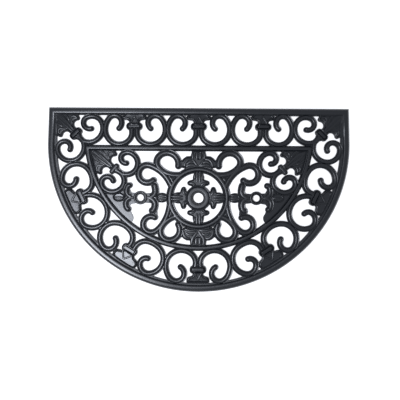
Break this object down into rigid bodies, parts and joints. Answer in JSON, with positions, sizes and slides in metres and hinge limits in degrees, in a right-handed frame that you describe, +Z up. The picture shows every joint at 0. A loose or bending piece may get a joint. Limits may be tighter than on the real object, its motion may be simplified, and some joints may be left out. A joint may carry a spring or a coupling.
{
  "type": "half-round rubber doormat",
  "caption": "Half-round rubber doormat moulded in one piece, with cut-through scrolls, leaves and rings inside a stepped rim.",
  "frame": {"origin": "on the floor, under the middle of the mat's outline", "axes": "+X along the straight edge, +Y towards the straight edge, +Z up from the floor"},
  "size_m": [0.75, 0.457, 0.0095],
  "materials": {
    "black_rubber": "satin"
  },
  "bodies": {
    "root": {"mat": "black_rubber"}
  },
  "joints": []
}
